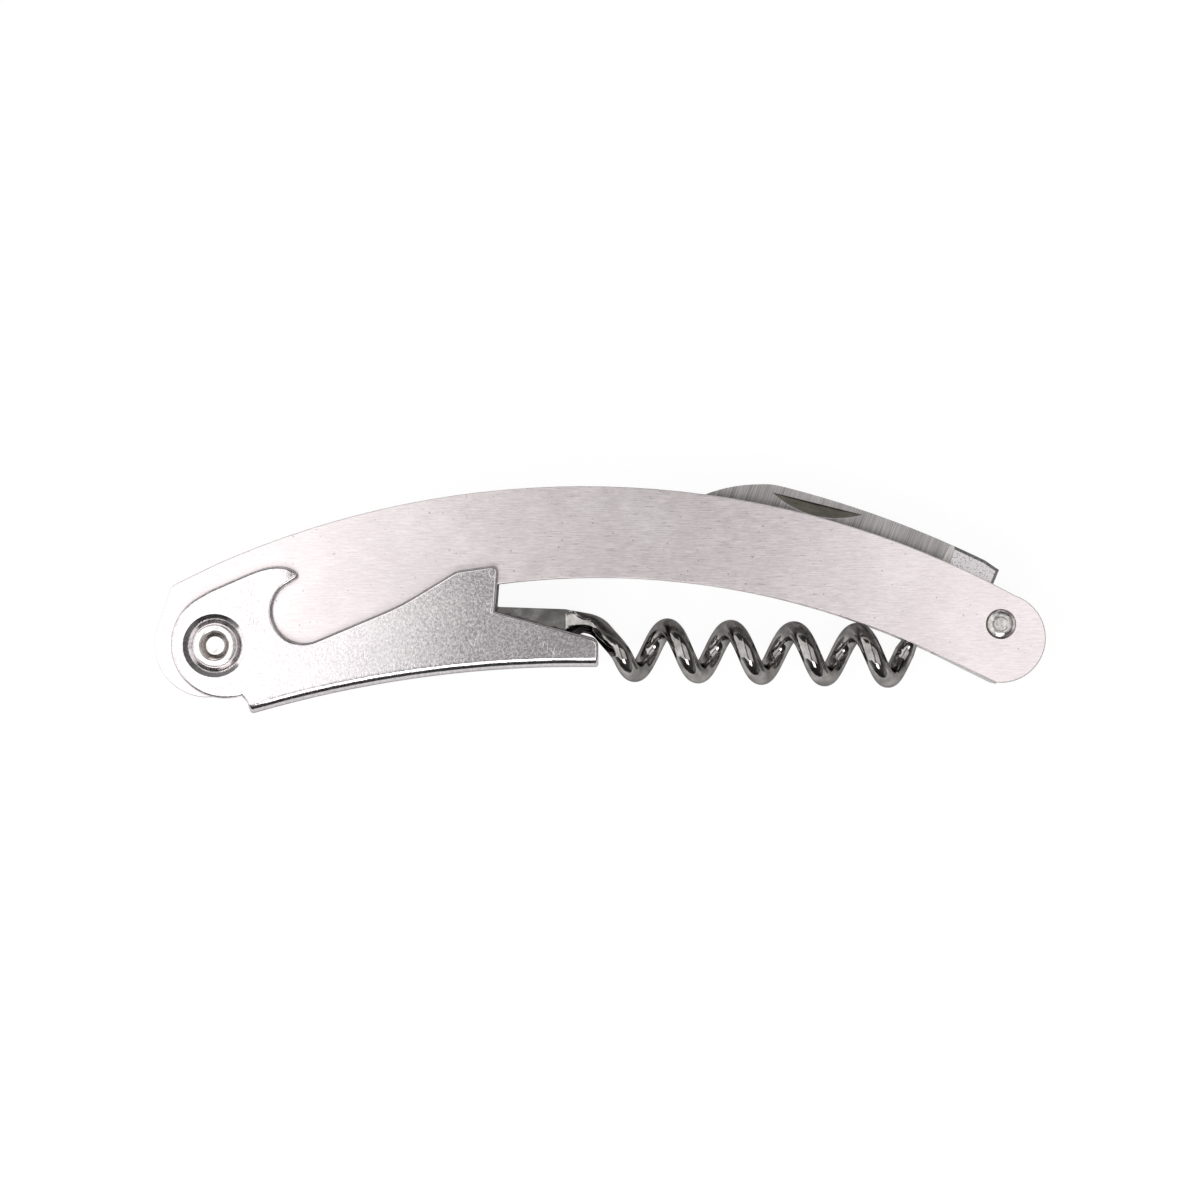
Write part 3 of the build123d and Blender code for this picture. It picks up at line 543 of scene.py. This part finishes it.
def add_world():
    """Room with a white horizon, a pale wall except in front, and a plain ceiling."""
    world = bpy.data.worlds.new("studio")
    bpy.context.scene.world = world
    graph = Graph(world)
    heading = graph.split(graph.node("ShaderNodeTexCoord").outputs["Generated"])
    front = room_level(graph, heading["Z"], FRONT_LEVEL, FRONT_LEVEL)
    around = room_level(graph, heading["Z"], WALL_LEVEL, ROOM_LEVEL)
    level = graph.mix(graph.spread(heading["Y"], *FRONT_EDGE), front, around)
    background = graph.node("ShaderNodeBackground", {"Color": level, "Strength": 1.0})
    graph.node("ShaderNodeOutputWorld", {"Surface": background.outputs[0]})


def rounded(corners):
    """Profile points in metres, with each corner that has a rounding replaced by an arc."""
    points = []
    for index, (radius, depth, rounding) in enumerate(corners):
        here = Vector((radius, depth))
        if not rounding:
            points.append(here * MM)
            continue
        back = (Vector(corners[index - 1][:2]) - here).normalized()
        ahead = (Vector(corners[index + 1][:2]) - here).normalized()
        half = back.angle(ahead) / 2
        centre = here + (back + ahead).normalized() * (rounding / math.sin(half))
        reach = rounding / math.tan(half)
        first = here + back * reach - centre
        last = here + ahead * reach - centre
        for step in range(ROUND_STEPS + 1):
            spoke = first.slerp(last, step / ROUND_STEPS).normalized()
            points.append((centre + spoke * rounding) * MM)
    return points


def shade_smooth(mesh):
    for polygon in mesh.polygons:
        polygon.use_smooth = True
    mesh.set_sharp_from_angle(angle=math.radians(SHARP_ANGLE))


def add_piece(name, build, node, body, material):
    """Object made from a finished mesh build, in a CAD node's place and on its body."""
    mesh = bpy.data.meshes.new(name)
    build.to_mesh(mesh)
    build.free()
    stored_normals = mesh.attributes.get("custom_normal")
    if stored_normals:
        mesh.attributes.remove(stored_normals)
    shade_smooth(mesh)
    mesh.materials.append(material)
    piece = bpy.data.objects.new(name, mesh)
    bpy.context.scene.collection.objects.link(piece)
    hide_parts(node)
    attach(piece, body)
    return piece


def add_turned(node, end, material):
    """Lathe mesh in a CAD node's place, with both ends alike."""
    low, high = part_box(node)
    centre = (low + high) / 2
    profile = rounded(end)
    rows = [(point.x, high.z - point.y) for point in profile]
    rows += [(point.x, low.z + point.y) for point in reversed(profile)]
    build = bmesh.new()
    rings = []
    for radius, height in rows:
        turns = TURN_SEGMENTS if radius > 0 else 1
        ring = []
        for number in range(turns):
            angle = 2 * math.pi * number / turns
            spot = (centre.x + radius * math.cos(angle), centre.y + radius * math.sin(angle), height)
            ring.append(build.verts.new(spot))
        rings.append(ring)
    for upper, lower in zip(rings, rings[1:]):
        for number in range(TURN_SEGMENTS):
            corners = [upper[number % len(upper)], lower[number % len(lower)],
                       lower[(number + 1) % len(lower)], upper[(number + 1) % len(upper)]]
            build.faces.new(list(dict.fromkeys(corners)))
    bmesh.ops.recalc_face_normals(build, faces=build.faces)
    add_piece(node + "_turned", build, node, "handle", material)


def add_skin(node, body, material):
    """The node's own surface with its facets welded and shaded smooth."""
    build = bmesh.new()
    build.from_mesh(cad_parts[node].data)
    bmesh.ops.remove_doubles(build, verts=build.verts, dist=WELD)
    for face in build.faces:
        face.material_index = 0
    piece = add_piece(node + "_skin", build, node, body, material)
    weighted = piece.modifiers.new("weighted", "WEIGHTED_NORMAL")
    weighted.keep_sharp = True
    weighted.weight = FACE_AREA_WEIGHT


def dress():
    """Gives every CAD node its material, and the polished ones their smooth pieces."""
    brushed = brushed_plate()
    rivet = rolled_rivet()
    pin = plain_steel("pin_steel")
    spring = plain_steel("spring_steel")
    spacer = plain_steel("spacer_steel")
    by_node = {
        "handle_front_plate": brushed, "handle_back_plate": brushed, "end_bar": spring,
        "back_spring": spring, "lever_rivet": rivet, "lever_rivet_sleeve": spacer,
        "worm_pin": pin, "worm_spacer_front": spacer, "worm_spacer_back": spacer,
        "blade_pin": pin, "blade_spacer_front": spacer, "blade_spacer_back": spacer,
        "lever": tumbled_sheet(), "worm": polished_wire(), "blade": ground_blade(),
    }
    for name, material in by_node.items():
        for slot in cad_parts[name].material_slots:
            slot.material = material
    add_turned("lever_rivet", RIVET_END, rivet)
    add_turned("worm_pin", PIN_END, pin)
    add_turned("blade_pin", PIN_END, pin)
    add_skin("worm", "worm", by_node["worm"])
    add_skin("lever", "lever", by_node["lever"])


add_camera()
add_panels()
add_world()
add_floor()
dress()

bpy.context.scene.view_settings.view_transform = "Standard"
